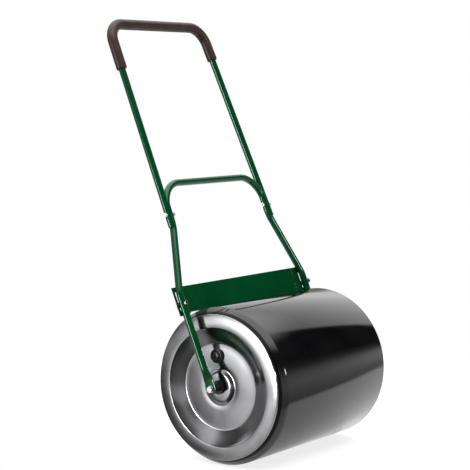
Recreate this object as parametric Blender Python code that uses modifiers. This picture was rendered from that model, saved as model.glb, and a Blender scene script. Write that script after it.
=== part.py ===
"""Hand lawn roller: a hollow steel drum on a through axle, pushed by a tubular frame.

Frame of the model, in metres:
  +X runs along the axle, towards the right-hand end of the drum,
  +Y points backwards, to the side the handle leans to,
  +Z points up. The origin is on the ground, under the middle of the axle.

Two leaning directions are used throughout. A point on the frame is given by its
distance "reach" from the axle along the lean of the legs, and by its distance
"behind" the plane of the legs.
"""
import math

import bmesh
import bpy
from mathutils import Matrix, Vector

# ---------------------------------------------------------------- driving sizes
DRUM_RADIUS = 0.175
DRUM_WIDTH = 0.437
SHEET = 0.0015            # drum sheet thickness
TUBE_RADIUS = 0.008       # 16 mm frame tube
TUBE_WALL = 0.0013
GRIP_RADIUS = 0.01225
GAP = 0.0003              # clearance left between touching pieces
ARC_STEP = math.radians(15)        # largest turn between two points of a bend
FRAME_LEAN = math.radians(66.9)    # lean of the lower frame, above the horizontal
HANDLE_LEAN = math.radians(66.2)   # lean of the upper handle

# ---------------------------------------------------------------- drum
AXLE_HEIGHT = DRUM_RADIUS
HALF_WIDTH = DRUM_WIDTH / 2
DRUM_STEPS = 48
# The drum's corners lie a little outside, so that its facets touch the ground.
CORNER_FACTOR = 1 / math.cos(math.pi / DRUM_STEPS)
FACE_RIM = 0.905 * DRUM_RADIUS     # outer edge of the flat face ring
SHOULDER_DEPTH = 0.151 * DRUM_RADIUS
SHOULDER_CURVE = 1.5
SEAM = 0.27                        # share of the shoulder where the cap meets the shell
SEAM_EDGE = 0.06                   # the sheet runs straight this far from the seam
RECESS_RIM = 0.735 * DRUM_RADIUS
RECESS_EDGE_DEPTH = 0.0017
DISC_RIM = 0.555 * DRUM_RADIUS
DISC_DEPTH = 0.067 * DRUM_RADIUS
HUB_RIM = 0.232 * DRUM_RADIUS
HUB_TOP = 0.165 * DRUM_RADIUS
HUB_DEPTH = DISC_DEPTH - 0.0045
RIM_ROUNDING = 0.0035

# ---------------------------------------------------------------- axle
AXLE_TUBE_RADIUS = 0.0125
AXLE_TUBE_BORE = 0.0100
AXLE_TUBE_END = HALF_WIDTH - HUB_DEPTH + 0.002
BUSH_BORE = 0.0083
BUSH_FLANGE = 0.0155
BUSH_FLANGE_THICKNESS = 0.0025
BUSH_LENGTH = 0.022
AXLE_RADIUS = 0.0080
AXLE_BORE = 0.0043
AXLE_BORE_DEPTH = 0.022
AXLE_END = AXLE_TUBE_END + GAP + BUSH_FLANGE_THICKNESS + GAP
SPACER_RADIUS = 0.0090

# ---------------------------------------------------------------- filler
FILLER_HEIGHT = 0.068              # above the axle
FILLER_BACK = 0.007                # behind the axle
FILLER_HOLE = 0.0140
NECK_RADIUS = 0.0190
NECK_BORE = 0.0137
NECK_LENGTH = 0.008
PLUG_SHANK = 0.0133
PLUG_HEAD = 0.0160
PLUG_HEAD_HEIGHT = 0.0075
SEAL_THICKNESS = 0.0015

# ---------------------------------------------------------------- lower frame
LEG_X = HALF_WIDTH + 0.021         # centre of the parallel part of each leg
LOWER_KINK_REACH = 0.2208
UPPER_KINK = (0.1855, 0.3745)      # half width, reach
WAIST = (0.1840, 0.4270)
CROSSBAR_CORNER = (0.1630, 0.4745)
CROSSBAR_BEND = 0.0665
WAIST_BEND = 0.040
UPPER_KINK_BEND = 0.085
LOWER_KINK_BEND = 0.052
PADDLE_X = LEG_X - 0.0015
PADDLE_HALF_THICKNESS = 0.0016
PADDLE_HALF_WIDTH = 0.0120
CRUSH_START = 0.046                # reach where the round tube begins to flatten
CRUSH_END = 0.018

# ---------------------------------------------------------------- upper handle
HANDLE_BOLT_REACH = 0.4008
JOINT_HALF_WIDTH = (UPPER_KINK[0] + WAIST[0]) / 2
HANDLE_HALF_WIDTH_AT_BOLT = 0.1899
HANDLE_TOP = 0.4688                # above the handle bolt, along the handle
HANDLE_TOP_HALF_WIDTH = 0.1734
HANDLE_TAIL = -0.0298              # the crushed ends reach below the bolt
HANDLE_BEND = 0.047
HOLLOW_END = 0.066                 # the tube is crushed solid below this height
GRIP_END_LEFT = 0.3553
GRIP_END_RIGHT = 0.3815

# ---------------------------------------------------------------- scraper
SCRAPER_HALF_LENGTH = 0.250
SCRAPER_TOP = 0.2373
SCRAPER_BOTTOM = 0.1772            # over the drum
SCRAPER_EAR_BOTTOM = 0.1715        # beyond the drum's rounded shoulders
SCRAPER_EAR_X = 0.2165
SCRAPER_THICKNESS = 0.002
SCRAPER_FRONT = TUBE_RADIUS + GAP
SLOT_BOTTOM = 0.1830
SLOT_TOP = 0.2270
SLOT_HALF_WIDTH = 0.0040
SCRAPER_BOLT_REACH = 0.1960

# ---------------------------------------------------------------- fasteners
M6 = {"shank": 0.0030, "hole": 0.0033, "head": 0.0058, "head_height": 0.0040, "nut_height": 0.0050}
M8 = {"shank": 0.0040, "hole": 0.0043, "head": 0.0075, "head_height": 0.0053}
WASHER_THICKNESS = 0.0012
M6_WASHER_RADIUS = 0.0062
M8_WASHER_RADIUS = 0.0082
AXLE_BOLT_LENGTH = 0.038
FASTENER_STEPS = 16

LEFT = -1
RIGHT = 1
SIDES = (("left", LEFT), ("right", RIGHT))
X_AXIS = Vector((1, 0, 0))
ALONG_LEGS = Vector((0, math.cos(FRAME_LEAN), math.sin(FRAME_LEAN)))
BEHIND_LEGS = Vector((0, math.sin(FRAME_LEAN), -math.cos(FRAME_LEAN)))
ALONG_HANDLE = Vector((0, math.cos(HANDLE_LEAN), math.sin(HANDLE_LEAN)))
AXLE_CENTRE = Vector((0, 0, AXLE_HEIGHT))


# ---------------------------------------------------------------- scene helpers
def clear_scene():
    for obj in list(bpy.data.objects):
        bpy.data.objects.remove(obj, do_unlink=True)


def new_collection(name):
    collection = bpy.data.collections.new(name)
    bpy.context.scene.collection.children.link(collection)
    return collection


def make_material(name, colour, roughness, metallic):
    material = bpy.data.materials.new(name)
    material.use_nodes = True
    shader = material.node_tree.nodes["Principled BSDF"]
    shader.inputs["Base Color"].default_value = (*colour, 1)
    shader.inputs["Roughness"].default_value = roughness
    shader.inputs["Metallic"].default_value = metallic
    return material


def black_enamel():
    return make_material("black_enamel", (0.03, 0.03, 0.033), 0.15, 0.4)


def green_paint():
    return make_material("green_paint", (0.0, 0.09, 0.03), 0.2, 0.0)


def bright_zinc():
    return make_material("bright_zinc", (0.75, 0.75, 0.74), 0.25, 1.0)


def axle_steel():
    return make_material("axle_steel", (0.45, 0.45, 0.46), 0.35, 1.0)


def dark_nylon():
    return make_material("dark_nylon", (0.03, 0.03, 0.03), 0.5, 0.0)


def brown_foam():
    return make_material("brown_foam", (0.06, 0.04, 0.038), 0.6, 0.0)


def black_rubber():
    return make_material("black_rubber", (0.02, 0.02, 0.02), 0.7, 0.0)


def place(obj, name, collection, material=None):
    """Gives an object its name, collection and material, and rounds its shading."""
    obj.name = name
    obj.data.name = name
    for old in list(obj.users_collection):
        old.objects.unlink(obj)
    collection.objects.link(obj)
    obj.data.materials.clear()
    if material:
        obj.data.materials.append(material)
    if obj.type == "MESH":
        obj.data.shade_smooth()
        obj.data.set_sharp_from_angle(angle=math.radians(35))
    return obj


def make_cutter(obj, name):
    place(obj, name, CUTTERS)
    obj.hide_render = True
    obj.display_type = "WIRE"
    return obj


def boolean(obj, other, operation="DIFFERENCE"):
    modifier = obj.modifiers.new(other.name, "BOOLEAN")
    modifier.object = other
    modifier.operation = operation
    modifier.solver = "EXACT"


# ---------------------------------------------------------------- shape helpers
def on_legs(x, reach, behind=0.0):
    """A point of the lower frame."""
    return AXLE_CENTRE + Vector((x, 0, 0)) + ALONG_LEGS * reach + BEHIND_LEGS * behind


def on_handle(x, height):
    """A point of the upper handle, at a height above its bolts along its lean."""
    return on_legs(x, HANDLE_BOLT_REACH) + ALONG_HANDLE * height


def rounded_path(corners, bends):
    """The corner points of a path, with each inner corner turned into an arc."""
    path = [corners[0]]
    for before, corner, after, bend in zip(corners, corners[1:], corners[2:], bends):
        to_before = (before - corner).normalized()
        to_after = (after - corner).normalized()
        half_angle = to_before.angle(to_after) / 2
        centre = corner + (to_before + to_after).normalized() * bend / math.sin(half_angle)
        start = corner + to_before * bend / math.tan(half_angle) - centre
        end = corner + to_after * bend / math.tan(half_angle) - centre
        steps = max(2, math.ceil(start.angle(end) / ARC_STEP))
        for step in range(steps + 1):
            path.append(centre + start.slerp(end, step / steps).normalized() * bend)
    path.append(corners[-1])
    return path


def tube(name, path, radius, resolution=4):
    """A capped round tube along a path, as a closed mesh object."""
    curve = bpy.data.curves.new(name, "CURVE")
    curve.dimensions = "3D"
    curve.bevel_depth = radius
    curve.bevel_resolution = resolution
    curve.use_fill_caps = True
    spline = curve.splines.new("POLY")
    spline.points.add(len(path) - 1)
    for point, position in zip(spline.points, path):
        point.co = (*position, 1)
    wire = bpy.data.objects.new(name + "_path", curve)
    bpy.context.scene.collection.objects.link(wire)
    bpy.context.view_layer.update()
    evaluated = wire.evaluated_get(bpy.context.evaluated_depsgraph_get())
    mesh = bpy.data.meshes.new_from_object(evaluated)
    work = bmesh.new()
    work.from_mesh(mesh)
    bmesh.ops.remove_doubles(work, verts=work.verts, dist=0.00001)
    bmesh.ops.recalc_face_normals(work, faces=work.faces)
    work.to_mesh(mesh)
    work.free()
    obj = bpy.data.objects.new(name, mesh)
    obj.matrix_world = wire.matrix_world
    bpy.context.scene.collection.objects.link(obj)
    bpy.data.objects.remove(wire, do_unlink=True)
    return obj


def turned(name, profile, base, direction, steps, closed=True):
    """A shape turned about an axis.

    The profile lists (radius, height) pairs, down the outer side first. Heights
    run from the base point along the direction.
    """
    mesh = bpy.data.meshes.new(name)
    points = [(radius, 0, height) for radius, height in profile]
    edges = [(index, index + 1) for index in range(len(points) - 1)]
    if closed:
        edges.append((len(points) - 1, 0))
    mesh.from_pydata(points, edges, [])
    obj = bpy.data.objects.new(name, mesh)
    bpy.context.scene.collection.objects.link(obj)
    obj.location = base
    turn = direction.to_track_quat("Z", "Y")
    half_facet = Matrix.Rotation(math.pi / steps, 3, "Z").to_quaternion()
    obj.rotation_mode = "QUATERNION"
    obj.rotation_quaternion = turn @ half_facet
    screw = obj.modifiers.new("turn", "SCREW")
    screw.steps = steps
    screw.render_steps = steps
    screw.use_merge_vertices = True
    screw.merge_threshold = 0.00001
    screw.use_smooth_shade = True
    return obj


def ring_profile(outer, bore, height):
    return [(outer, height), (outer, 0), (bore, 0), (bore, height)]


def prism(name, radius, height, base, direction, sides=FASTENER_STEPS):
    """A straight solid with a regular base, growing from its base point."""
    bpy.ops.mesh.primitive_cylinder_add(vertices=sides, radius=radius, depth=height)
    obj = bpy.context.object
    obj.name = name
    obj.rotation_mode = "QUATERNION"
    obj.rotation_quaternion = direction.to_track_quat("Z", "Y")
    obj.location = base + direction * height / 2
    return obj


def bolt(name, size, head_seat, direction, length):
    """A hex bolt. Its head sits on head_seat, and its shank runs along direction."""
    overlap = 0.001
    obj = prism(name, size["head"], size["head_height"], head_seat, -direction, sides=6)
    place(obj, name, PARTS, ZINC)
    shank = prism(name + "_shank", size["shank"], length + overlap, head_seat - direction * overlap, direction)
    boolean(obj, make_cutter(shank, name + "_shank"), "UNION")
    return obj


def drill(obj, name, radius, centre, direction, half_length):
    hole = prism(name, radius, 2 * half_length, centre - direction * half_length, direction)
    boolean(obj, make_cutter(hole, name))


def ring(name, outer, bore, height, base, direction, material):
    obj = turned(name, ring_profile(outer, bore, height), base, direction, FASTENER_STEPS)
    return place(obj, name, PARTS, material)


def nut(name, size, base, direction):
    obj = prism(name, size["head"], size["nut_height"], base, direction, sides=6)
    place(obj, name, PARTS, ZINC)
    drill(obj, name + "_thread", size["hole"], base, direction, 2 * size["nut_height"])
    return obj


def ride_on(empty, objects):
    bpy.context.view_layer.update()
    for obj in objects:
        obj.parent = empty
        obj.matrix_parent_inverse = empty.matrix_world.inverted()


def joint_empty(name, location):
    empty = bpy.data.objects.new(name, None)
    empty.empty_display_size = 0.03
    empty.location = location
    PARTS.objects.link(empty)
    return empty


# ---------------------------------------------------------------- drum
def shoulder_point(share):
    """Radius and depth from the face plane, at a share of the way over the shoulder."""
    rise = 1 - (1 - share) ** SHOULDER_CURVE
    radius = FACE_RIM + (DRUM_RADIUS - FACE_RIM) * rise
    return radius * CORNER_FACTOR, SHOULDER_DEPTH * share


def sheet_metal(obj):
    """Thickens a turned surface inwards."""
    solid = obj.modifiers.new("sheet", "SOLIDIFY")
    solid.thickness = SHEET
    solid.offset = -1
    solid.use_even_offset = True
    return obj


def make_drum_shell():
    edge = [shoulder_point(share) for share in (SEAM, SEAM + SEAM_EDGE, 0.55, 0.8, 1)]
    top = [(radius, HALF_WIDTH - depth) for radius, depth in edge]
    bottom = [(radius, -height) for radius, height in reversed(top)]
    obj = turned("drum_shell", top + bottom, AXLE_CENTRE, X_AXIS, DRUM_STEPS, closed=False)
    return sheet_metal(place(obj, "drum_shell", PARTS, ENAMEL))


def cap_profile():
    seam_radius, seam_depth = shoulder_point(SEAM)
    outline = [(seam_radius - GAP, seam_depth - GAP)]
    outline += [shoulder_point(share) for share in (SEAM - SEAM_EDGE, SEAM / 3, 0)]
    outline += [
        (RECESS_RIM + RIM_ROUNDING, 0),
        (RECESS_RIM, RECESS_EDGE_DEPTH),
        (DISC_RIM, DISC_DEPTH),
        (HUB_RIM, DISC_DEPTH),
        (HUB_TOP, HUB_DEPTH),
        (AXLE_TUBE_RADIUS + GAP, HUB_DEPTH),
    ]
    return outline


def make_end_cap(side, sign):
    """A dished disc: flat face ring, conical step, recessed disc and raised hub."""
    heights = [(radius, -depth) for radius, depth in cap_profile()]
    face = AXLE_CENTRE + X_AXIS * sign * HALF_WIDTH
    name = "end_cap_" + side
    # The profile climbs the outside of the cap, so it is reversed to run outwards to inwards.
    obj = turned(name, list(reversed(heights)), face, X_AXIS * sign, DRUM_STEPS, closed=False)
    return sheet_metal(place(obj, name, PARTS, ENAMEL))


def make_drum():
    shell = make_drum_shell()
    caps = {side: make_end_cap(side, sign) for side, sign in SIDES}
    drill(caps["left"], "filler_hole", FILLER_HOLE, filler_point(-HALF_WIDTH), X_AXIS, 0.04)
    length = 2 * AXLE_TUBE_END
    start = AXLE_CENTRE - X_AXIS * AXLE_TUBE_END
    profile = ring_profile(AXLE_TUBE_RADIUS, AXLE_TUBE_BORE, length)
    axle_tube = turned("axle_tube", profile, start, X_AXIS, 24)
    place(axle_tube, "axle_tube", PARTS, STEEL)
    bushes = [make_bush(side, sign) for side, sign in SIDES]
    return [shell, *caps.values(), axle_tube, *bushes]


def make_bush(side, sign):
    """A flanged sleeve pressed into the end of the axle tube."""
    sleeve = AXLE_TUBE_BORE - GAP
    profile = [
        (BUSH_FLANGE, BUSH_FLANGE_THICKNESS),
        (BUSH_FLANGE, 0),
        (sleeve, 0),
        (sleeve, -BUSH_LENGTH),
        (BUSH_BORE, -BUSH_LENGTH),
        (BUSH_BORE, BUSH_FLANGE_THICKNESS),
    ]
    base = AXLE_CENTRE + X_AXIS * sign * (AXLE_TUBE_END + GAP)
    obj = turned("bush_" + side, profile, base, X_AXIS * sign, 24)
    return place(obj, "bush_" + side, PARTS, NYLON)


# ---------------------------------------------------------------- filler
def filler_point(x):
    return AXLE_CENTRE + Vector((x, FILLER_BACK, FILLER_HEIGHT))


def make_filler_neck():
    """The threaded ring welded behind the left cap, around the filler hole."""
    behind_disc = filler_point(-HALF_WIDTH + DISC_DEPTH + SHEET + GAP)
    profile = ring_profile(NECK_RADIUS, NECK_BORE, NECK_LENGTH)
    obj = turned("filler_neck", profile, behind_disc, X_AXIS, 24)
    return place(obj, "filler_neck", PARTS, STEEL)


def make_plug():
    disc_front = filler_point(-HALF_WIDTH + DISC_DEPTH - GAP)
    seal_front = GAP + SEAL_THICKNESS
    shank_depth = SHEET + NECK_LENGTH - 0.0005
    seal_profile = ring_profile(PLUG_HEAD - 0.0008, PLUG_SHANK + GAP, SEAL_THICKNESS)
    seal = turned("plug_seal", seal_profile, disc_front, -X_AXIS, 24)
    place(seal, "plug_seal", PARTS, RUBBER)
    head_top = seal_front + PLUG_HEAD_HEIGHT
    profile = [
        (0, head_top),
        (PLUG_HEAD * 0.45, head_top - 0.0005),
        (PLUG_HEAD * 0.80, head_top - 0.0025),
        (PLUG_HEAD, seal_front + 0.0025),
        (PLUG_HEAD, seal_front),
        (PLUG_SHANK, seal_front),
        (PLUG_SHANK, -shank_depth),
        (0, -shank_depth),
    ]
    plug = turned("filler_plug", profile, disc_front, -X_AXIS, 24, closed=False)
    place(plug, "filler_plug", PARTS, NYLON)
    return plug, seal


# ---------------------------------------------------------------- axle
def make_axle():
    """The fixed rod that the drum turns on. Each end has a tapped hole."""
    start = AXLE_CENTRE - X_AXIS * AXLE_END
    rod = place(prism("axle_rod", AXLE_RADIUS, 2 * AXLE_END, start, X_AXIS, 24), "axle_rod", PARTS, STEEL)
    for side, sign in SIDES:
        outwards = X_AXIS * sign
        end = AXLE_CENTRE + outwards * AXLE_END
        drill(rod, "tapped_hole_" + side, AXLE_BORE, end, outwards, AXLE_BORE_DEPTH)
        paddle_inside = PADDLE_X - PADDLE_HALF_THICKNESS - GAP
        spacer_start = AXLE_END + GAP
        base = AXLE_CENTRE + outwards * spacer_start
        ring("spacer_" + side, SPACER_RADIUS, AXLE_BORE, paddle_inside - spacer_start, base, outwards, STEEL)
        paddle_outside = AXLE_CENTRE + outwards * (PADDLE_X + PADDLE_HALF_THICKNESS + GAP)
        name = "axle_washer_" + side
        ring(name, M8_WASHER_RADIUS, M8["hole"], WASHER_THICKNESS, paddle_outside, outwards, ZINC)
        seat = paddle_outside + outwards * (WASHER_THICKNESS + GAP)
        bolt("axle_bolt_" + side, M8, seat, -outwards, AXLE_BOLT_LENGTH)


# ---------------------------------------------------------------- lower frame
def both_sides(points):
    """Corners from the left end to the right end, from those of the right half."""
    left_half = [on_legs(-x, reach) for x, reach in reversed(points)]
    right_half = [on_legs(x, reach) for x, reach in points]
    return left_half + right_half


def bent_frame_path(leg_end):
    """The centre line of the lower frame, from one leg end to the other."""
    corners = [CROSSBAR_CORNER, WAIST, UPPER_KINK, (LEG_X, LOWER_KINK_REACH), (LEG_X, leg_end)]
    bends = [CROSSBAR_BEND, WAIST_BEND, UPPER_KINK_BEND, LOWER_KINK_BEND]
    return rounded_path(both_sides(corners), bends[::-1] + bends)


def frame_path(leg_end, stations):
    """The same centre line, with extra points along the crushed leg ends."""
    path = bent_frame_path(leg_end)
    left = [on_legs(-LEG_X, reach) for reach in stations]
    right = [on_legs(LEG_X, reach) for reach in reversed(stations)]
    return path[:1] + left + path[1:-1] + right + path[-1:]


def smooth_step(value):
    value = min(max(value, 0), 1)
    return value * value * (3 - 2 * value)


def crush_leg_ends(obj, radius):
    """Presses the leg ends flat: round tube, then a flat paddle with a round tip."""
    inset = TUBE_RADIUS - radius
    for vertex in obj.data.vertices:
        offset = vertex.co - AXLE_CENTRE
        reach = offset.dot(ALONG_LEGS)
        if reach > CRUSH_START:
            continue
        side = math.copysign(1, offset.x)
        across = (abs(offset.x) - LEG_X) / radius
        behind = offset.dot(BEHIND_LEGS) / radius
        flatness = smooth_step((CRUSH_START - reach) / (CRUSH_START - CRUSH_END))
        half_thickness = TUBE_RADIUS + (PADDLE_HALF_THICKNESS - TUBE_RADIUS) * flatness - inset
        half_width = TUBE_RADIUS + (PADDLE_HALF_WIDTH - TUBE_RADIUS) * flatness - inset
        if reach < 0:
            half_width *= math.sqrt(max(1 - (reach / PADDLE_HALF_WIDTH) ** 2, 0.04))
        if abs(across) < 0.01:
            squared = 0
        else:
            squared = math.copysign(abs(across) ** (1 - flatness), across)
        centre = LEG_X + (PADDLE_X - LEG_X) * flatness
        x = side * (centre + squared * half_thickness)
        vertex.co = on_legs(x, reach, behind * half_width)


def make_lower_frame():
    stations = [-0.0100, -0.0070, -0.0035, 0.0, 0.010, CRUSH_END, 0.024, 0.031, 0.039, CRUSH_START]
    outer = tube("lower_frame", frame_path(-0.0116, stations), TUBE_RADIUS)
    crush_leg_ends(outer, TUBE_RADIUS)
    place(outer, "lower_frame", PARTS, GREEN)
    core_radius = TUBE_RADIUS - TUBE_WALL
    core_stations = [0.010, CRUSH_END, 0.024, 0.031, 0.039, CRUSH_START]
    core = tube("lower_frame_hollow", frame_path(0.0005, core_stations), core_radius, resolution=2)
    crush_leg_ends(core, core_radius)
    boolean(outer, make_cutter(core, "lower_frame_hollow"))
    for side, sign in SIDES:
        outwards = X_AXIS * sign
        drill(outer, "axle_hole_" + side, M8["hole"], on_legs(sign * PADDLE_X, 0), outwards, 0.01)
        joint = on_legs(sign * JOINT_HALF_WIDTH, HANDLE_BOLT_REACH)
        drill(outer, "handle_hole_" + side, M6["hole"], joint, outwards, 0.02)
        clamp = on_legs(sign * LEG_X, SCRAPER_BOLT_REACH)
        drill(outer, "scraper_hole_" + side, M6["hole"], clamp, BEHIND_LEGS, 0.015)
    return outer


# ---------------------------------------------------------------- upper handle
def handle_half_width(height):
    slope = (HANDLE_TOP_HALF_WIDTH - HANDLE_HALF_WIDTH_AT_BOLT) / HANDLE_TOP
    return HANDLE_HALF_WIDTH_AT_BOLT + slope * height


def handle_path(left_end, right_end):
    """The centre line of the upper handle between two heights on its legs."""
    corners = [
        on_handle(-handle_half_width(left_end), left_end),
        on_handle(-HANDLE_TOP_HALF_WIDTH, HANDLE_TOP),
        on_handle(HANDLE_TOP_HALF_WIDTH, HANDLE_TOP),
        on_handle(handle_half_width(right_end), right_end),
    ]
    return rounded_path(corners, [HANDLE_BEND, HANDLE_BEND])


def make_upper_handle():
    """The U-shaped handle tube. Its ends are crushed around the lower frame's tube."""
    outer = tube("upper_handle", handle_path(HANDLE_TAIL, HANDLE_TAIL), TUBE_RADIUS)
    place(outer, "upper_handle", PARTS, GREEN)
    core = tube("handle_hollow", handle_path(HOLLOW_END, HOLLOW_END), TUBE_RADIUS - TUBE_WALL, resolution=2)
    boolean(outer, make_cutter(core, "handle_hollow"))
    nest = tube("handle_nest", bent_frame_path(0.1), TUBE_RADIUS + GAP)
    boolean(outer, make_cutter(nest, "handle_nest"))
    for side, sign in SIDES:
        make_pinch_gap(outer, side, sign)
        bolt_centre = on_handle(sign * handle_half_width(0), 0)
        drill(outer, "handle_end_hole_" + side, M6["hole"], bolt_centre, X_AXIS, 0.02)
    return outer


def make_pinch_gap(handle, side, sign):
    """The narrow gap that stays open inside each crushed end."""
    radius = 0.0009
    towards_outside = 0.0052
    start = HANDLE_TAIL - 0.005
    end = HOLLOW_END + 0.004
    points = []
    for height in (start, end):
        x = handle_half_width(height) + towards_outside
        points.append(on_handle(sign * x, height))
    gap = tube("pinch_gap_" + side, points, radius, resolution=1)
    boolean(handle, make_cutter(gap, "pinch_gap_" + side))


def make_grip():
    grip = tube("grip", handle_path(GRIP_END_LEFT, GRIP_END_RIGHT), GRIP_RADIUS)
    place(grip, "grip", PARTS, FOAM)
    past_end = 0.02
    path = handle_path(GRIP_END_LEFT - past_end, GRIP_END_RIGHT - past_end)
    bore = tube("grip_bore", path, TUBE_RADIUS + GAP)
    boolean(grip, make_cutter(bore, "grip_bore"))
    return grip


def make_handle_fasteners():
    for side, sign in SIDES:
        outwards = X_AXIS * sign
        outer_x = handle_half_width(0) + TUBE_RADIUS + GAP
        seat = on_legs(sign * outer_x, HANDLE_BOLT_REACH)
        inner_x = JOINT_HALF_WIDTH - TUBE_RADIUS - 2 * GAP - M6["nut_height"]
        length = outer_x - inner_x + 0.003
        bolt("handle_bolt_" + side, M6, seat, -outwards, length)
        nut("handle_nut_" + side, M6, on_legs(sign * inner_x, HANDLE_BOLT_REACH), outwards)


# ---------------------------------------------------------------- scraper
def slab(name, outline, front, thickness):
    """A flat plate parallel to the legs, from its outline of (x, reach) corners."""
    curve = bpy.data.curves.new(name, "CURVE")
    curve.dimensions = "2D"
    curve.fill_mode = "BOTH"
    curve.extrude = thickness / 2
    spline = curve.splines.new("POLY")
    spline.points.add(len(outline) - 1)
    for point, (x, reach) in zip(spline.points, outline):
        point.co = (x, reach, 0, 1)
    spline.use_cyclic_u = True
    wire = bpy.data.objects.new(name + "_outline", curve)
    bpy.context.scene.collection.objects.link(wire)
    turn = Matrix((X_AXIS, ALONG_LEGS, -BEHIND_LEGS)).transposed()
    wire.matrix_world = Matrix.Translation(on_legs(0, 0, front + thickness / 2)) @ turn.to_4x4()
    bpy.context.view_layer.update()
    evaluated = wire.evaluated_get(bpy.context.evaluated_depsgraph_get())
    mesh = bpy.data.meshes.new_from_object(evaluated)
    work = bmesh.new()
    work.from_mesh(mesh)
    bmesh.ops.remove_doubles(work, verts=work.verts, dist=0.00001)
    bmesh.ops.recalc_face_normals(work, faces=work.faces)
    work.to_mesh(mesh)
    work.free()
    obj = bpy.data.objects.new(name, mesh)
    obj.matrix_world = wire.matrix_world
    bpy.context.scene.collection.objects.link(obj)
    bpy.data.objects.remove(wire, do_unlink=True)
    return obj


def slot_outline(x_centre):
    """A round-ended slot, as (x, reach) corners."""
    outline = []
    for centre, first_angle in ((SLOT_TOP, 0), (SLOT_BOTTOM, math.pi)):
        inner = centre - math.copysign(SLOT_HALF_WIDTH, math.cos(first_angle))
        for step in range(5):
            angle = first_angle + math.pi * step / 4
            x = x_centre + SLOT_HALF_WIDTH * math.cos(angle)
            outline.append((x, inner + SLOT_HALF_WIDTH * math.sin(angle)))
    return outline


def make_scraper():
    """The scraper plate behind the legs. Its slots let it be set closer to the drum."""
    ear_slope = 0.006
    half = [
        (SCRAPER_EAR_X - ear_slope, SCRAPER_BOTTOM),
        (SCRAPER_EAR_X, SCRAPER_EAR_BOTTOM),
        (SCRAPER_HALF_LENGTH, SCRAPER_EAR_BOTTOM),
        (SCRAPER_HALF_LENGTH, SCRAPER_TOP),
    ]
    outline = half + [(-x, reach) for x, reach in reversed(half)]
    plate = slab("scraper_plate", outline, SCRAPER_FRONT, SCRAPER_THICKNESS)
    place(plate, "scraper_plate", PARTS, GREEN)
    for side, sign in SIDES:
        cutter = slab("slot_" + side, slot_outline(sign * LEG_X), SCRAPER_FRONT - 0.002, 0.006)
        boolean(plate, make_cutter(cutter, "slot_" + side))
    return plate


def make_scraper_fasteners():
    back = SCRAPER_FRONT + SCRAPER_THICKNESS + GAP
    nut_seat = back + WASHER_THICKNESS + GAP
    for side, sign in SIDES:
        x = sign * LEG_X
        head_seat = on_legs(x, SCRAPER_BOLT_REACH, -TUBE_RADIUS - GAP)
        length = TUBE_RADIUS + GAP + nut_seat + M6["nut_height"] + 0.002
        bolt("scraper_bolt_" + side, M6, head_seat, BEHIND_LEGS, length)
        base = on_legs(x, SCRAPER_BOLT_REACH, back)
        ring("scraper_washer_" + side, M6_WASHER_RADIUS, M6["hole"], WASHER_THICKNESS, base, BEHIND_LEGS, ZINC)
        nut("scraper_nut_" + side, M6, on_legs(x, SCRAPER_BOLT_REACH, nut_seat), BEHIND_LEGS)


# ---------------------------------------------------------------- assembly
clear_scene()
PARTS = new_collection("lawn_roller")
CUTTERS = new_collection("cutters")
ENAMEL = black_enamel()
GREEN = green_paint()
ZINC = bright_zinc()
STEEL = axle_steel()
NYLON = dark_nylon()
FOAM = brown_foam()
RUBBER = black_rubber()

drum_pieces = make_drum()
drum_pieces.append(make_filler_neck())
plug_pieces = make_plug()
make_axle()
make_lower_frame()
make_upper_handle()
make_grip()
make_handle_fasteners()
scraper = make_scraper()
make_scraper_fasteners()

drum_axis = joint_empty("drum_axis", AXLE_CENTRE)
plug_axis = joint_empty("plug_axis", filler_point(-HALF_WIDTH))
ride_on(drum_axis, [*drum_pieces, plug_axis])
ride_on(plug_axis, plug_pieces)
scraper_slide = joint_empty("scraper_slide", on_legs(0, SCRAPER_BOLT_REACH))
ride_on(scraper_slide, [scraper])
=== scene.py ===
"""Looks of the hand lawn roller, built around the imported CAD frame.

+X runs along the axle to the right-hand end, +Y points to the handle side, +Z up.
"""

import math

import bmesh
import bpy
from mathutils import Matrix, Vector


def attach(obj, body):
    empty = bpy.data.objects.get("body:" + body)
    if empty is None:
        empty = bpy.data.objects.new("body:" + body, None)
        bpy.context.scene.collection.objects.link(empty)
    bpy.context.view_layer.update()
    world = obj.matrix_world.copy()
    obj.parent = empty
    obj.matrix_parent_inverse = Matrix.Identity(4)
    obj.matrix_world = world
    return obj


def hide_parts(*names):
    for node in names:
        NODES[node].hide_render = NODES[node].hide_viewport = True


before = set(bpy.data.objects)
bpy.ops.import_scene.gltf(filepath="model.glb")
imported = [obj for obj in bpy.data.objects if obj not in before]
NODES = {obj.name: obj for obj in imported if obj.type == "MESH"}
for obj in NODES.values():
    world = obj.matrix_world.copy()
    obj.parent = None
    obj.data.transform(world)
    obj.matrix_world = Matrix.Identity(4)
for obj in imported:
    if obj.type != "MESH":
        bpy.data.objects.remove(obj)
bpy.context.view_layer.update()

# All sizes are in metres. "Reach" is the distance from the axle along the legs.
SIDES = {"left": -1, "right": 1}

# ---------------------------------------------------------------- directions
FRAME_LEAN = math.radians(66.9)
HANDLE_LEAN = math.radians(66.2)
X_AXIS = Vector((1, 0, 0))
ALONG_LEGS = Vector((0, math.cos(FRAME_LEAN), math.sin(FRAME_LEAN)))
BEHIND_LEGS = Vector((0, math.sin(FRAME_LEAN), -math.cos(FRAME_LEAN)))
ALONG_HANDLE = Vector((0, math.cos(HANDLE_LEAN), math.sin(HANDLE_LEAN)))

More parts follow.
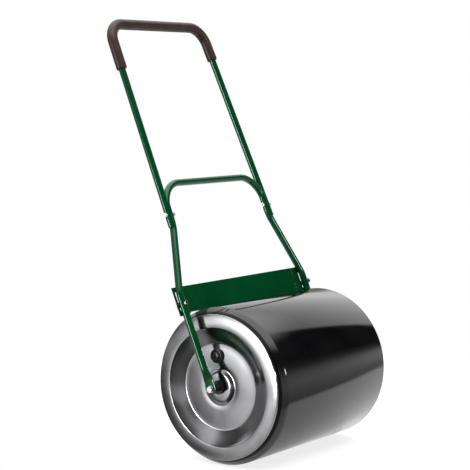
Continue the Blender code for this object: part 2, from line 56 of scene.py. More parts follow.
# ---------------------------------------------------------------- drum sizes
DRUM_RADIUS = 0.175
HALF_WIDTH = 0.2185
AXLE_CENTRE = Vector((0, 0, DRUM_RADIUS))
DRUM_STEPS = 192
SHEET = 0.0015
FACE_RIM = 0.158375        # radius that the shoulder would have in the face plane
SHOULDER_DEPTH = 0.0235
SHOULDER_CURVE = 1.25
RING_EDGE = 0.13           # share of the shoulder where the bright face ring ends
SEAM = 0.42                # share of the shoulder where the cap meets the shell
SEAM_GAP = 0.0002
SHELL_EDGE_STEPS = 16
CAP_EDGE_STEPS = 8
# The cap's face inside the shoulder, as (radius, depth from the face plane).
FACE_RING = [
    (0.1606, 0.0018), (0.1600, 0.0010), (0.1588, 0.0007), (0.1330, -0.0004),
    (0.1320, -0.0003), (0.1310, 0.0002), (0.1295, 0.0010), (0.1275, 0.0020),
]
RECESS_CONE = [(0.1135, 0.0073), (0.1000, 0.0111), (0.0980, 0.0119)]
INNER_DISC = [
    (0.0965, 0.0125), (0.0945, 0.0126), (0.0850, 0.0121), (0.0700, 0.0117), (0.0550, 0.0115),
    (0.0440, 0.0116),
]
HUB_DIMPLE = [
    (0.0410, 0.0120), (0.0390, 0.0117), (0.0370, 0.0104), (0.0330, 0.0080), (0.0290, 0.0073),
    (0.0200, 0.0073), (0.0129, 0.0073),
]

# ---------------------------------------------------------------- filler plug sizes
# Plug points are (radius, height above the seat).
FILLER_SEAT = Vector((-0.207075, 0.007, 0.243))   # front of the disc under the seal
PLUG_STEPS = 64
PLUG_ARC_STEPS = 8
PLUG_TOP = 0.0093
KNOB_CENTRE = (0.0060, 0.0058)
KNOB_ROUNDING = 0.0035
PLUG_WAIST = [(0.0098, 0.0046), (0.0108, 0.0042)]
FLANGE_CENTRE = (0.0136, 0.0042)
FLANGE_ROUNDING = 0.0022
PLUG_SHANK = [(0.0156, 0.0018), (0.0133, 0.0018), (0.0133, -0.0090), (0, -0.0090)]

# ---------------------------------------------------------------- lower frame sizes
TUBE_RADIUS = 0.008
TUBE_SIDES = 32
LEG_X = 0.2395
LEG_END = -0.0117
# Corners of one half of the bent tube as (x, reach), from the crossbar down to the leg.
FRAME_CORNERS = [(0.1630, 0.4745), (0.1840, 0.4270), (0.1855, 0.3745), (LEG_X, 0.2208)]
FRAME_BENDS = [0.0665, 0.040, 0.085, 0.052]
PADDLE_X = 0.2380
PADDLE_HALF_WIDTH = 0.0120
PADDLE_HALF_THICKNESS = 0.0016
PADDLE_SQUARENESS = 0.85   # 0 keeps a round section, 1 makes it a box
PADDLE_TIP = 0.02          # squared share of the width that is left at the tip
CRUSH_START = 0.046        # reach where the leg starts to flatten
CRUSH_END = 0.018          # reach where it is flat
FIRST_STATION = -0.0112    # reach of the first section of the leg end
STATION_SPACING = 0.0016
STATIONS = 42

# ---------------------------------------------------------------- handle and grip sizes
HANDLE_BOLT_REACH = 0.4008
HANDLE_END = -0.0298       # lower end of the handle tube, along the handle from the bolts
HANDLE_TOP = 0.4688
HANDLE_HALF_WIDTHS = (0.1899, 0.1734)   # at the bolts and at the top
HANDLE_BEND = 0.047
NEST_REACH = 0.1           # the hollow follows the frame tube from this reach upwards
NEST_GAP = 0.0002
GRIP_RADIUS = 0.01225
GRIP_SIDES = 40
GRIP_ENDS = (0.3553, 0.3815)            # left and right, along the handle
# Rounded end of the grip: (distance from the end, amount below the full radius).
GRIP_ROUNDING = [(0.0, 0.0026), (0.0004, 0.0016), (0.0012, 0.0007), (0.0024, 0.0002), (0.004, 0.0)]

# ---------------------------------------------------------------- mesh finish
TINY = 1e-6
ARC_STEP = math.radians(4)         # largest turn between two points of a bend
SHARP_ANGLE = math.radians(38)
BEVEL_ANGLE = math.radians(40)
BEVEL_SEGMENTS = 2
WELD_DISTANCE = 0.00002

# ---------------------------------------------------------------- surroundings
# The levels below are multiplied by STUDIO_STRENGTH.
STUDIO_STRENGTH = 2.0
# Level by angle round the axle on the right-hand side: from the back horizon (-180)
# by straight down (-90), the front horizon (0) and overhead (90) to the back again.
RIGHT_SIDE = [
    (-180, 0.12), (-150, 0.2), (-90, 0.45), (-30, 0.4), (-24, 0.2), (0, 0.44), (7, 0.38), (18, 0.08),
    (26, 0.01), (68, 0.003), (71, 0.6), (85, 0.66), (110, 0.74), (150, 0.74), (166, 0.5), (174, 0.12),
]
# Level by compass angle on the left-hand side: 90 is the back, 180 the left and 270
# the front.
LEFT_SIDE = [
    (270, 0.04), (200, 0.05), (172, 0.12), (164, 0.2), (158, 0.7), (151, 0.78), (147, 0.8),
    (142.5, 0.36), (138.5, 0.14), (126, 0.06), (112, 0.12), (90, 0.12),
]
# A factor on the left-hand side, by elevation above the horizon.
LEFT_HEIGHTS = [
    (-90, 0.2), (-35, 0.25), (-19, 0.7), (-15, 0.85), (-11, 1.0), (-8, 1.8), (-5.5, 2.9), (1, 2.9),
    (6, 0.8), (90, 0.5),
]
SIDE_BLEND = (-0.55, -0.4)         # X of a direction, from the left-hand map to the right-hand one
OVERHEAD = (1.6, 1.6, 1.6)
OVERHEAD_BLEND = (0.62, 0.85)      # Z of a direction, where the overhead panel fades in
# Narrow bright strips, which draw the light lines on the tubes: their range of
# compass angles, their range of elevations and their level.
STRIPS = [((156, 163), (-9, 8), 14), ((269, 279), (13, 19), 11)]
STRIP_FADES = (0.004, 0.015)       # sideways, as a share of a turn, and upwards, as Z

LAMP_PLACE = (-1.6, -1.2, 3.2)
LAMP_TARGET = (0, 0.1, 0.3)
LAMP_SIZE = (2.2, 1.6)
LAMP_POWER = 60

FLOOR_HALF_SIZE = 3.0
# The part of the floor board that is not faded out, from edge to edge.
FLOOR_X = (-0.23, 1.2)
FLOOR_Y = (-0.5, 0.9)
FLOOR_FADE = 0.05

CAMERA_PLACE = (-2.837, -1.980, 0.829)
CAMERA_FORWARD = (0.8010, 0.5907, -0.0967)
CAMERA_LENS = 116.86
CAMERA_SENSOR = 36
CAMERA_REACH = 200


# ---------------------------------------------------------------- node helpers
class Nodes:
    """Adds nodes to a tree and links them, to keep each material short."""

    def __init__(self, tree):
        self.tree = tree

    def add(self, kind, inputs=None, **settings):
        node = self.tree.nodes.new(kind)
        for key, value in settings.items():
            setattr(node, key, value)
        for key, value in (inputs or {}).items():
            socket = node.inputs[key]
            if isinstance(value, bpy.types.NodeSocket):
                self.tree.links.new(value, socket)
            else:
                socket.default_value = value
        return node

    def link(self, output, target):
        self.tree.links.new(output, target)

    def math(self, operation, first, second=0.0):
        return self.add("ShaderNodeMath", {0: first, 1: second}, operation=operation).outputs[0]

    def mix(self, share, first, second, blend_type="MIX"):
        """Mixes two colours."""
        settings = {0: share, 6: first, 7: second}
        node = self.add("ShaderNodeMix", settings, data_type="RGBA", blend_type=blend_type)
        return node.outputs[2]

    def ramp(self, value, stops):
        """Grey levels or colours at the given positions, straight in between."""
        node = self.add("ShaderNodeValToRGB", {0: value})
        elements = node.color_ramp.elements
        while len(elements) < len(stops):
            elements.new(0.5)
        for element, (position, level) in zip(elements, stops):
            element.position = position
            colour = level if isinstance(level, tuple) else (level, level, level)
            element.color = (*colour, 1)
        return node.outputs[0]

    def step(self, value, low, high):
        """0 below low, 1 above high, smooth between."""
        settings = {"Value": value, "From Min": low, "From Max": high}
        node = self.add("ShaderNodeMapRange", settings, interpolation_type="SMOOTHSTEP")
        return node.outputs[0]

    def window(self, value, low, high, fade):
        """1 between low and high, fading softly to 0 outside."""
        rising = self.step(value, low - fade, low + fade)
        falling = self.step(value, high + fade, high - fade)
        return self.math("MULTIPLY", rising, falling)


def new_material(name, colour, roughness, metallic=0.0, **sockets):
    """A Principled material with plain values, which a material's own nodes may then vary."""
    material = bpy.data.materials.new(name)
    material.use_nodes = True
    nodes = Nodes(material.node_tree)
    shader = material.node_tree.nodes["Principled BSDF"]
    shader.inputs["Base Color"].default_value = (*colour, 1)
    shader.inputs["Roughness"].default_value = roughness
    shader.inputs["Metallic"].default_value = metallic
    for key, value in sockets.items():
        shader.inputs[key.replace("_", " ")].default_value = value
    return material, nodes, shader


def noise(nodes, scale, detail=3.0, stretch=(1, 1, 1)):
    where = nodes.add("ShaderNodeTexCoord").outputs["Object"]
    mapped = nodes.add("ShaderNodeMapping", {"Vector": where, "Scale": stretch}).outputs[0]
    settings = {"Vector": mapped, "Scale": scale, "Detail": detail}
    return nodes.add("ShaderNodeTexNoise", settings).outputs[0]


def tint(nodes, shader, value, stops):
    nodes.link(nodes.ramp(value, stops), shader.inputs["Base Color"])


def vary_roughness(nodes, shader, value, low, high):
    settings = {"Value": value, "From Min": 0.3, "From Max": 0.7, "To Min": low, "To Max": high}
    nodes.link(nodes.add("ShaderNodeMapRange", settings).outputs[0], shader.inputs["Roughness"])


def bump(nodes, shader, value, strength, distance):
    settings = {"Height": value, "Strength": strength, "Distance": distance}
    nodes.link(nodes.add("ShaderNodeBump", settings).outputs[0], shader.inputs["Normal"])


# ---------------------------------------------------------------- materials
def drum_enamel():
    """Glossy black enamel with faint orange peel and dusty, slightly duller patches."""
    material, nodes, shader = new_material("drum_enamel", (0.004, 0.004, 0.0045), 0.08, IOR=1.5)
    stops = [(0.35, (0.0015, 0.0015, 0.002)), (0.75, (0.005, 0.005, 0.0055))]
    tint(nodes, shader, noise(nodes, scale=9, detail=4), stops)
    patches = noise(nodes, scale=26, detail=5, stretch=(0.3, 1, 1))
    vary_roughness(nodes, shader, patches, low=0.05, high=0.11)
    bump(nodes, shader, noise(nodes, scale=420, detail=2), strength=0.035, distance=0.001)
    return material


def cap_enamel():
    """Dark metallic enamel of the pressed end caps, plain black on the shoulder: the shell's black
    enamel, and painted shade standing in for the shadowed rolled seam.
    """
    material, nodes, shader = new_material(
        "cap_enamel", (0.3, 0.3, 0.31), 0.2, 1.0, Specular_IOR_Level=0.1
    )
    where = nodes.add("ShaderNodeTexCoord").outputs["Object"]
    subtract = {0: where, 1: tuple(AXLE_CENTRE)}
    from_axle = nodes.add("ShaderNodeVectorMath", subtract, operation="SUBTRACT").outputs[0]
    flatten = {0: from_axle, 1: (0, 1, 1)}
    in_plane = nodes.add("ShaderNodeVectorMath", flatten, operation="MULTIPLY").outputs[0]
    radius = nodes.add("ShaderNodeVectorMath", {0: in_plane}, operation="LENGTH").outputs["Value"]
    spun = {"W": radius, "Scale": 900.0, "Detail": 3.0}
    rings = nodes.add("ShaderNodeTexNoise", spun, noise_dimensions="1D").outputs[0]
    stops = [(0.3, (0.25, 0.25, 0.26)), (0.75, (0.36, 0.36, 0.37))]
    face = nodes.ramp(noise(nodes, scale=14, detail=5), stops)
    edge = shoulder(RING_EDGE)[0]
    # Painted shade: the shoulder band is plain black and not metallic. It stands in for the shade in
    # the rolled seam as well as carrying the shell's black enamel.
    shoulder_seam_shade = nodes.step(radius, edge - 0.0006, edge + 0.0002)
    colour = nodes.mix(shoulder_seam_shade, face, (0.003, 0.003, 0.0035, 1))
    nodes.link(colour, shader.inputs["Base Color"])
    nodes.link(nodes.math("SUBTRACT", 1.0, shoulder_seam_shade), shader.inputs["Metallic"])
    vary_roughness(nodes, shader, noise(nodes, scale=30, detail=4), low=0.09, high=0.16)
    bump(nodes, shader, rings, strength=0.03, distance=0.0005)
    return material


def green_paint():
    """Deep green gloss paint over drawn tube, with a little orange peel."""
    material, nodes, shader = new_material("green_gloss_paint", (0.0, 0.046, 0.0105), 0.12, IOR=1.5)
    shader.inputs["Specular Tint"].default_value = (0.62, 1.0, 0.8, 1)
    stops = [(0.3, (0.0002, 0.037, 0.0100)), (0.75, (0.0004, 0.050, 0.0145))]
    tint(nodes, shader, noise(nodes, scale=12, detail=4), stops)
    vary_roughness(nodes, shader, noise(nodes, scale=60, detail=4), low=0.07, high=0.13)
    bump(nodes, shader, noise(nodes, scale=500, detail=2), strength=0.02, distance=0.0005)
    return material


def bright_zinc():
    """Bright zinc plating of the bolts, nuts and washers, slightly mottled."""
    material, nodes, shader = new_material("zinc_plate", (0.6, 0.59, 0.57), 0.25, 1.0)
    stops = [(0.3, (0.46, 0.45, 0.43)), (0.7, (0.68, 0.67, 0.65))]
    tint(nodes, shader, noise(nodes, scale=160, detail=4), stops)
    vary_roughness(nodes, shader, noise(nodes, scale=240, detail=3), low=0.16, high=0.32)
    bump(nodes, shader, noise(nodes, scale=1500, detail=2), strength=0.05, distance=0.0004)
    return material


def drawn_steel():
    """Bare steel with drawing lines along the axle, for the pieces inside the drum."""
    material, nodes, shader = new_material("drawn_steel", (0.4, 0.4, 0.41), 0.35, 1.0)
    lines = noise(nodes, scale=300, detail=3, stretch=(0.05, 1, 1))
    tint(nodes, shader, lines, [(0.3, (0.28, 0.28, 0.29)), (0.7, (0.46, 0.46, 0.47))])
    bump(nodes, shader, lines, strength=0.08, distance=0.0004)
    return material


def black_moulding():
    """Glossy black nylon of the plug, bushes and spacers."""
    material, nodes, shader = new_material("black_moulding", (0.012, 0.012, 0.012), 0.12, IOR=1.5)
    stops = [(0.3, (0.008, 0.008, 0.008)), (0.7, (0.02, 0.02, 0.02))]
    tint(nodes, shader, noise(nodes, scale=80, detail=3), stops)
    vary_roughness(nodes, shader, noise(nodes, scale=120, detail=3), low=0.05, high=0.11)
    return material


def black_rubber():
    """Matt black rubber of the plug's seal."""
    material, nodes, shader = new_material("seal_rubber", (0.015, 0.015, 0.015), 0.65)
    bump(nodes, shader, noise(nodes, scale=900, detail=3), strength=0.2, distance=0.0004)
    return material


def brown_foam():
    """Dark brown closed-cell foam: fine cells, a satin skin and slightly uneven colour."""
    material, nodes, shader = new_material(
        "brown_foam", (0.035, 0.02, 0.019), 0.45, Specular_IOR_Level=0.3
    )
    where = nodes.add("ShaderNodeTexCoord").outputs["Object"]
    pattern = {"Vector": where, "Scale": 900.0}
    cells = nodes.add("ShaderNodeTexVoronoi", pattern).outputs["Distance"]
    stops = [(0.3, (0.022, 0.0105, 0.0085)), (0.72, (0.040, 0.021, 0.018))]
    tint(nodes, shader, noise(nodes, scale=45, detail=5), stops)
    vary_roughness(nodes, shader, noise(nodes, scale=70, detail=4), low=0.34, high=0.5)
    bump(nodes, shader, cells, strength=0.25, distance=0.0004)
    return material


def pale_floor():
    """A pale, faintly glowing board, which fades out softly at its edges."""
    material, nodes, shader = new_material(
        "pale_floor", (0.27, 0.27, 0.27), 0.9, Emission_Strength=0.8
    )
    shader.inputs["Emission Color"].default_value = (1, 1, 1, 1)
    stops = [(0.2, (0.25, 0.25, 0.25)), (0.8, (0.29, 0.29, 0.29))]
    tint(nodes, shader, noise(nodes, scale=6, detail=2), stops)
    where = nodes.add("ShaderNodeTexCoord").outputs["Object"]
    axes = nodes.add("ShaderNodeSeparateXYZ", {0: where}).outputs
    across = nodes.window(axes["X"], *FLOOR_X, FLOOR_FADE)
    along = nodes.window(axes["Y"], *FLOOR_Y, FLOOR_FADE)
    nodes.link(nodes.math("MULTIPLY", across, along), shader.inputs["Alpha"])
    return material


# ---------------------------------------------------------------- mesh helpers
def add_piece(name, mesh, body, material, replaced):
    """Puts a mesh in the scene on its moving body, in place of a CAD node."""
    obj = bpy.data.objects.new(name, mesh)
    bpy.context.scene.collection.objects.link(obj)
    mesh.materials.clear()
    mesh.materials.append(material)
    mesh.shade_smooth()
    mesh.set_sharp_from_angle(angle=SHARP_ANGLE)
    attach(obj, body)
    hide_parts(replaced)
    return obj


def finished_mesh(name, work):
    """Turns the faces outwards and makes the mesh."""
    bmesh.ops.recalc_face_normals(work, faces=work.faces)
    mesh = bpy.data.meshes.new(name)
    work.to_mesh(mesh)
    work.free()
    return mesh


def bridge(work, first, second, steps):
    """Faces between two rings of points. A ring may be a single point on the axis."""
    for step in range(steps):
        following = (step + 1) % steps
        corners = [first[step % len(first)], first[following % len(first)]]
        corners += [second[following % len(second)], second[step % len(second)]]
        unique = list(dict.fromkeys(corners))
        if len(unique) > 2:
            work.faces.new(unique)


def turned_mesh(name, profile, base, direction, steps, closed=True):
    """A mesh turned about an axis, from (radius, height) pairs listed round its section."""
    turn = direction.to_track_quat("Z", "Y").to_matrix()
    work = bmesh.new()
    rings = []
    for radius, height in profile:
        if radius < TINY:
            rings.append([work.verts.new(base + turn @ Vector((0, 0, height)))])
            continue
        ring = []
        for step in range(steps):
            angle = 2 * math.pi * step / steps
            point = Vector((radius * math.cos(angle), radius * math.sin(angle), height))
            ring.append(work.verts.new(base + turn @ point))
        rings.append(ring)
    pairs = list(zip(rings, rings[1:]))
    if closed:
        pairs.append((rings[-1], rings[0]))
    for first, second in pairs:
        bridge(work, first, second, steps)
    return finished_mesh(name, work)


def swept_mesh(name, path, radii, sides=TUBE_SIDES):
    """A capped tube along a path, with a radius for each of its points."""
    work = bmesh.new()
    rings = []
    across = X_AXIS.cross(path[1] - path[0])
    if across.length < TINY:
        across = Vector((0, 1, 0))
    for index, (point, radius) in enumerate(zip(path, radii)):
        before = path[max(index - 1, 0)]
        after = path[min(index + 1, len(path) - 1)]
        tangent = (after - before).normalized()
        across = (across - tangent * across.dot(tangent)).normalized()
        other = tangent.cross(across)
        ring = []
        for side in range(sides):
            angle = 2 * math.pi * side / sides
            outwards = across * math.cos(angle) + other * math.sin(angle)
            ring.append(work.verts.new(point + radius * outwards))
        rings.append(ring)
    for first, second in zip(rings, rings[1:]):
        bridge(work, first, second, sides)
    work.faces.new(rings[0])
    work.faces.new(rings[-1])
    return finished_mesh(name, work)


def rounded_path(corners, bends):
    """Corner points with each inner corner turned into an arc."""
    path = [corners[0]]
    for before, corner, after, bend in zip(corners, corners[1:], corners[2:], bends):
        to_before = (before - corner).normalized()
        to_after = (after - corner).normalized()
        half_angle = to_before.angle(to_after) / 2
        centre = corner + (to_before + to_after).normalized() * bend / math.sin(half_angle)
        start = corner + to_before * bend / math.tan(half_angle) - centre
        end = corner + to_after * bend / math.tan(half_angle) - centre
        steps = max(2, math.ceil(start.angle(end) / ARC_STEP))
        for step in range(steps + 1):
            path.append(centre + start.slerp(end, step / steps).normalized() * bend)
    path.append(corners[-1])
    return path


def on_legs(x, reach, behind=0.0):
    return AXLE_CENTRE + X_AXIS * x + ALONG_LEGS * reach + BEHIND_LEGS * behind


def on_handle(x, height):
    return on_legs(x, HANDLE_BOLT_REACH) + ALONG_HANDLE * height


# ---------------------------------------------------------------- drum
def shoulder(share):
    """Radius and depth from the face plane, at a share of the way over the shoulder."""
    rise = 1 - (1 - share) ** SHOULDER_CURVE
    return FACE_RIM + (DRUM_RADIUS - FACE_RIM) * rise, SHOULDER_DEPTH * share


def shoulder_points(first, last, steps):
    return [shoulder(first + (last - first) * step / steps) for step in range(steps + 1)]


def drum_shell_piece(material):
    """The rolled sheet, from seam to seam."""
    edge = shoulder_points(SEAM, 1, SHELL_EDGE_STEPS)
    outer = [(radius, HALF_WIDTH - depth) for radius, depth in edge]
    outer += [(DRUM_RADIUS, 0)]
    outer += [(radius, -height) for radius, height in reversed(outer[:-1])]
    inner = [(radius - SHEET, height) for radius, height in reversed(outer)]
    mesh = turned_mesh("drum_skin", outer + inner, AXLE_CENTRE, X_AXIS, DRUM_STEPS)
    return add_piece("drum_skin", mesh, "drum", material, "drum_shell")


def cap_outline():
    """The pressed end cap from its seam to its hub, as (radius, depth) pairs."""
    edge = shoulder_points(SEAM, RING_EDGE, CAP_EDGE_STEPS)
    outline = [(radius - SEAM_GAP, depth - SEAM_GAP) for radius, depth in edge]
    return outline + FACE_RING + RECESS_CONE + INNER_DISC + HUB_DIMPLE


def end_cap_piece(side, sign, material):
    outer = [(radius, -depth) for radius, depth in cap_outline()]
    inner = [(radius, height - SHEET) for radius, height in reversed(outer)]
    base = AXLE_CENTRE + X_AXIS * sign * HALF_WIDTH
    mesh = turned_mesh("cap_pressing_" + side, outer + inner, base, X_AXIS * sign, DRUM_STEPS)
    return add_piece("cap_pressing_" + side, mesh, "drum", material, "end_cap_" + side)


# ---------------------------------------------------------------- plug
def arc_points(centre, radius, first, last, steps):
    """(radius, height) points of an arc, with angles in degrees from the radial direction."""
    points = []
    for step in range(steps + 1):
        angle = math.radians(first + (last - first) * step / steps)
        points.append((centre[0] + radius * math.cos(angle), centre[1] + radius * math.sin(angle)))
    return points


def plug_piece(material):
    """The filler plug: a round knob on a flange, with its shank behind."""
    profile = [(0, PLUG_TOP)]
    profile += arc_points(KNOB_CENTRE, KNOB_ROUNDING, 90, 0, PLUG_ARC_STEPS)
    profile += PLUG_WAIST
    profile += arc_points(FLANGE_CENTRE, FLANGE_ROUNDING, 130, -40, PLUG_ARC_STEPS)
    profile += PLUG_SHANK
    mesh = turned_mesh("filler_cap", profile, FILLER_SEAT, -X_AXIS, PLUG_STEPS, closed=False)
    return add_piece("filler_cap", mesh, "plug", material, "filler_plug")


# ---------------------------------------------------------------- frame tubes
def smooth_step(value):
    value = min(max(value, 0), 1)
    return value * value * (3 - 2 * value)


def crush_leg_ends(mesh):
    """Presses the round leg ends into flat paddles with a round tip."""
    for vertex in mesh.vertices:
        offset = vertex.co - AXLE_CENTRE
        reach = offset.dot(ALONG_LEGS)
        if reach > CRUSH_START:
            continue
        side = math.copysign(1, offset.x)
        across = (abs(offset.x) - LEG_X) / TUBE_RADIUS
        behind = offset.dot(BEHIND_LEGS) / TUBE_RADIUS
        flatness = smooth_step((CRUSH_START - reach) / (CRUSH_START - CRUSH_END))
        half_thickness = TUBE_RADIUS + (PADDLE_HALF_THICKNESS - TUBE_RADIUS) * flatness
        half_width = TUBE_RADIUS + (PADDLE_HALF_WIDTH - TUBE_RADIUS) * flatness
        if reach < 0:
            half_width *= math.sqrt(max(1 - (reach / PADDLE_HALF_WIDTH) ** 2, PADDLE_TIP))
        power = 1 - PADDLE_SQUARENESS * flatness
        squared = math.copysign(abs(across) ** power, across) if abs(across) > 0.01 else 0
        x = side * (LEG_X + (PADDLE_X - LEG_X) * flatness + squared * half_thickness)
        vertex.co = on_legs(x, reach, behind * half_width)


def frame_tube_path(leg_end):
    half = FRAME_CORNERS + [(LEG_X, leg_end)]
    corners = [on_legs(-x, reach) for x, reach in reversed(half)]
    corners += [on_legs(x, reach) for x, reach in half]
    return rounded_path(corners, FRAME_BENDS[::-1] + FRAME_BENDS)


def lower_frame_piece(material):
    """The bent frame tube, with close sections at its ends, where they are crushed flat."""
    path = frame_tube_path(LEG_END)
    stations = [FIRST_STATION + STATION_SPACING * step for step in range(STATIONS)]
    left = [on_legs(-LEG_X, reach) for reach in stations]
    right = [on_legs(LEG_X, reach) for reach in reversed(stations)]
    path = path[:1] + left + path[1:-1] + right + path[-1:]
    mesh = swept_mesh("frame_tube", path, [TUBE_RADIUS] * len(path))
    crush_leg_ends(mesh)
    return add_piece("frame_tube", mesh, "frame", material, "lower_frame")


def handle_half_width(height):
    at_bolts, at_top = HANDLE_HALF_WIDTHS
    return at_bolts + (at_top - at_bolts) * height / HANDLE_TOP


def handle_tube_path(left_end, right_end):
    corners = [
        on_handle(-handle_half_width(left_end), left_end),
        on_handle(-HANDLE_HALF_WIDTHS[1], HANDLE_TOP),
        on_handle(HANDLE_HALF_WIDTHS[1], HANDLE_TOP),
        on_handle(handle_half_width(right_end), right_end),
    ]
    return rounded_path(corners, [HANDLE_BEND, HANDLE_BEND])


def cut_nest(obj):
    """Cuts the hollow that the frame tube lies in out of the handle's ends."""
    path = frame_tube_path(NEST_REACH)
    nest_mesh = swept_mesh("handle_nest", path, [TUBE_RADIUS + NEST_GAP] * len(path))
    nest = bpy.data.objects.new("handle_nest", nest_mesh)
    bpy.context.scene.collection.objects.link(nest)
    cut = obj.modifiers.new("nest", "BOOLEAN")
    cut.object = nest
    cut.solver = "EXACT"
    bpy.context.view_layer.update()
    evaluated = obj.evaluated_get(bpy.context.evaluated_depsgraph_get())
    result = bpy.data.meshes.new_from_object(evaluated)
    obj.modifiers.clear()
    obj.data = result
    bpy.data.objects.remove(nest, do_unlink=True)


def handle_piece(material):
    """The handle tube, with the hollow in its crushed ends that the frame tube lies in."""
    path = handle_tube_path(HANDLE_END, HANDLE_END)
    mesh = swept_mesh("handle_tube", path, [TUBE_RADIUS] * len(path))
    obj = add_piece("handle_tube", mesh, "frame", material, "upper_handle")
    cut_nest(obj)
    return obj


def grip_piece(material):
    """The foam sleeve over the top of the handle, rounded off at its two ends."""
    path = handle_tube_path(*GRIP_ENDS)
    left_length = (path[1] - path[0]).length
    right_length = (path[-2] - path[-1]).length
    left = [path[0].lerp(path[1], distance / left_length) for distance, _ in GRIP_ROUNDING]
    right = [path[-1].lerp(path[-2], distance / right_length) for distance, _ in GRIP_ROUNDING]
    full = left + path[1:-1] + right[::-1]
    ends = [GRIP_RADIUS - drop for _, drop in GRIP_ROUNDING]
    radii = ends + [GRIP_RADIUS] * len(path[1:-1]) + ends[::-1]
    mesh = swept_mesh("foam_grip", full, radii, sides=GRIP_SIDES)
    obj = add_piece("foam_grip", mesh, "frame", material, "grip")
    return obj


# ---------------------------------------------------------------- carried-over pieces
def finish_cad_node(name, material, edge=0.0):
    """Gives a CAD node its material and, where asked, softly broken edges."""
    obj = NODES[name]
    obj.data.materials.clear()
    obj.data.materials.append(material)
    if edge:
        weld = obj.modifiers.new("weld", "WELD")
        weld.merge_threshold = WELD_DISTANCE
        soft = obj.modifiers.new("edges", "BEVEL")
        soft.width = edge
        soft.segments = BEVEL_SEGMENTS
        soft.limit_method = "ANGLE"
        soft.angle_limit = BEVEL_ANGLE
        soft.harden_normals = True


# ---------------------------------------------------------------- studio
def compass_place(degrees):
    """Place of a compass angle on the compass scale, which runs from 0 to 1."""
    return 0.5 + (180 - degrees) / 360


def height_of(degrees):
    """Z of a direction at an elevation."""
    return math.sin(math.radians(degrees))


def right_hand_light(nodes, axes):
    """Panels seen round the axle, which the drum's side mirrors."""
    backwards = nodes.math("MULTIPLY", axes["Y"], -1.0)
    round_axle = nodes.math("ARCTAN2", axes["Z"], backwards)
    turn = nodes.math("ADD", nodes.math("DIVIDE", round_axle, 2 * math.pi), 0.5)
    return nodes.ramp(turn, [(degrees / 360 + 0.5, level) for degrees, level in RIGHT_SIDE])


def compass_scale(nodes, axes):
    angle = nodes.math("ARCTAN2", axes["Y"], nodes.math("MULTIPLY", axes["X"], -1.0))
    return nodes.math("ADD", nodes.math("DIVIDE", angle, 2 * math.pi), 0.5)


def left_hand_light(nodes, axes, compass):
    """Panels round the compass, which the left end cap mirrors."""
    around = nodes.ramp(compass, [(compass_place(degrees), level) for degrees, level in LEFT_SIDE])
    upwards = nodes.math("ADD", nodes.math("MULTIPLY", axes["Z"], 0.5), 0.5)
    stops = [(0.5 + 0.5 * height_of(degrees), level) for degrees, level in LEFT_HEIGHTS]
    return nodes.mix(1.0, around, nodes.ramp(upwards, stops), "MULTIPLY")


def strip_light(nodes, axes, compass, compass_range, elevations, level):
    first, last = compass_range
    bottom, top = elevations
    side_fade, upright_fade = STRIP_FADES
    across = nodes.window(compass, compass_place(last), compass_place(first), side_fade)
    upright = nodes.window(axes["Z"], height_of(bottom), height_of(top), upright_fade)
    return nodes.math("MULTIPLY", nodes.math("MULTIPLY", across, upright), level)


def soft_studio():
    """White to the eye, with large soft panels and a darker gap between them for the gloss."""
    world = bpy.data.worlds.new("studio")
    bpy.context.scene.world = world
    world.use_nodes = True
    nodes = Nodes(world.node_tree)
    backdrop = world.node_tree.nodes["Background"]
    output = world.node_tree.nodes["World Output"]
    direction = nodes.add("ShaderNodeTexCoord").outputs["Generated"]
    axes = nodes.add("ShaderNodeSeparateXYZ", {0: direction}).outputs
    compass = compass_scale(nodes, axes)
    side = nodes.step(axes["X"], *SIDE_BLEND)
    left = left_hand_light(nodes, axes, compass)
    around = nodes.mix(side, left, right_hand_light(nodes, axes))
    light = nodes.mix(nodes.step(axes["Z"], *OVERHEAD_BLEND), around, (*OVERHEAD, 1))
    for compass_range, elevations, level in STRIPS:
        strip = strip_light(nodes, axes, compass, compass_range, elevations, level)
        light = nodes.mix(1.0, light, strip, "ADD")
    nodes.link(light, backdrop.inputs["Color"])
    backdrop.inputs["Strength"].default_value = STUDIO_STRENGTH
    white = nodes.add("ShaderNodeBackground", {"Color": (1, 1, 1, 1), "Strength": 1.0})
    seen = nodes.add("ShaderNodeLightPath").outputs["Is Camera Ray"]
    choice = {0: seen, 1: backdrop.outputs[0], 2: white.outputs[0]}
    mixed = nodes.add("ShaderNodeMixShader", choice)
    nodes.link(mixed.outputs[0], output.inputs["Surface"])


def soft_key():
    """One big soft lamp overhead, kept out of the gloss so that it draws no square there."""
    light = bpy.data.lights.new("soft_key", "AREA")
    light.shape = "RECTANGLE"
    light.size, light.size_y = LAMP_SIZE
    light.energy = LAMP_POWER
    lamp = bpy.data.objects.new("soft_key", light)
    bpy.context.scene.collection.objects.link(lamp)
    lamp.location = LAMP_PLACE
    lamp.rotation_euler = (Vector(LAMP_TARGET) - lamp.location).to_track_quat("-Z", "Y").to_euler()
    lamp.visible_glossy = False


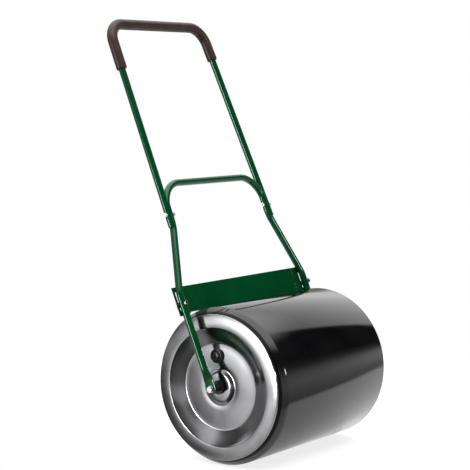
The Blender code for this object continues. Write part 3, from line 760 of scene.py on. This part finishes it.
def floor():
    """The floor board under the roller."""
    mesh = bpy.data.meshes.new("floor")
    corners = [(-1, -1), (1, -1), (1, 1), (-1, 1)]
    points = [(x * FLOOR_HALF_SIZE, y * FLOOR_HALF_SIZE, 0) for x, y in corners]
    mesh.from_pydata(points, [], [(0, 1, 2, 3)])
    obj = bpy.data.objects.new("floor", mesh)
    bpy.context.scene.collection.objects.link(obj)
    mesh.materials.append(pale_floor())


def camera():
    """The camera, to the left and front of the roller, a little above the drum."""
    data = bpy.data.cameras.new("camera")
    data.sensor_width = CAMERA_SENSOR
    data.lens = CAMERA_LENS
    data.clip_end = CAMERA_REACH
    obj = bpy.data.objects.new("camera", data)
    bpy.context.scene.collection.objects.link(obj)
    forward = Vector(CAMERA_FORWARD).normalized()
    right = forward.cross(Vector((0, 0, 1))).normalized()
    up = right.cross(forward)
    turn = Matrix((right, up, -forward)).transposed()
    obj.matrix_world = Matrix.Translation(CAMERA_PLACE) @ turn.to_4x4()
    bpy.context.scene.camera = obj


# ---------------------------------------------------------------- putting it together
camera()
soft_studio()
soft_key()
floor()
bpy.context.scene.view_settings.view_transform = "Standard"

enamel = drum_enamel()
cap_metal = cap_enamel()
green = green_paint()
zinc = bright_zinc()
steel = drawn_steel()
moulding = black_moulding()
rubber = black_rubber()
foam = brown_foam()

drum_shell_piece(enamel)
for side, sign in SIDES.items():
    end_cap_piece(side, sign, cap_metal)
plug_piece(moulding)
lower_frame_piece(green)
handle_piece(green)
grip_piece(foam)

# Material and width of the broken edges of the CAD nodes that stay in view.
SINGLE_NODES = {
    "scraper_plate": (green, 0.0004),
    "plug_seal": (rubber, 0.0002),
    "axle_tube": (steel, 0.0),
    "filler_neck": (steel, 0.0),
    "axle_rod": (steel, 0.0),
}
PAIRED_NODES = {
    "bush": (moulding, 0.0003),
    "spacer": (moulding, 0.0003),
    "axle_washer": (zinc, 0.0002),
    "axle_bolt": (zinc, 0.0005),
    "handle_bolt": (zinc, 0.0004),
    "handle_nut": (zinc, 0.0004),
    "scraper_bolt": (zinc, 0.0004),
    "scraper_washer": (zinc, 0.0002),
    "scraper_nut": (zinc, 0.0004),
}
for name, (material, edge) in SINGLE_NODES.items():
    finish_cad_node(name, material, edge)
for side in SIDES:
    for name, (material, edge) in PAIRED_NODES.items():
        finish_cad_node(name + "_" + side, material, edge)
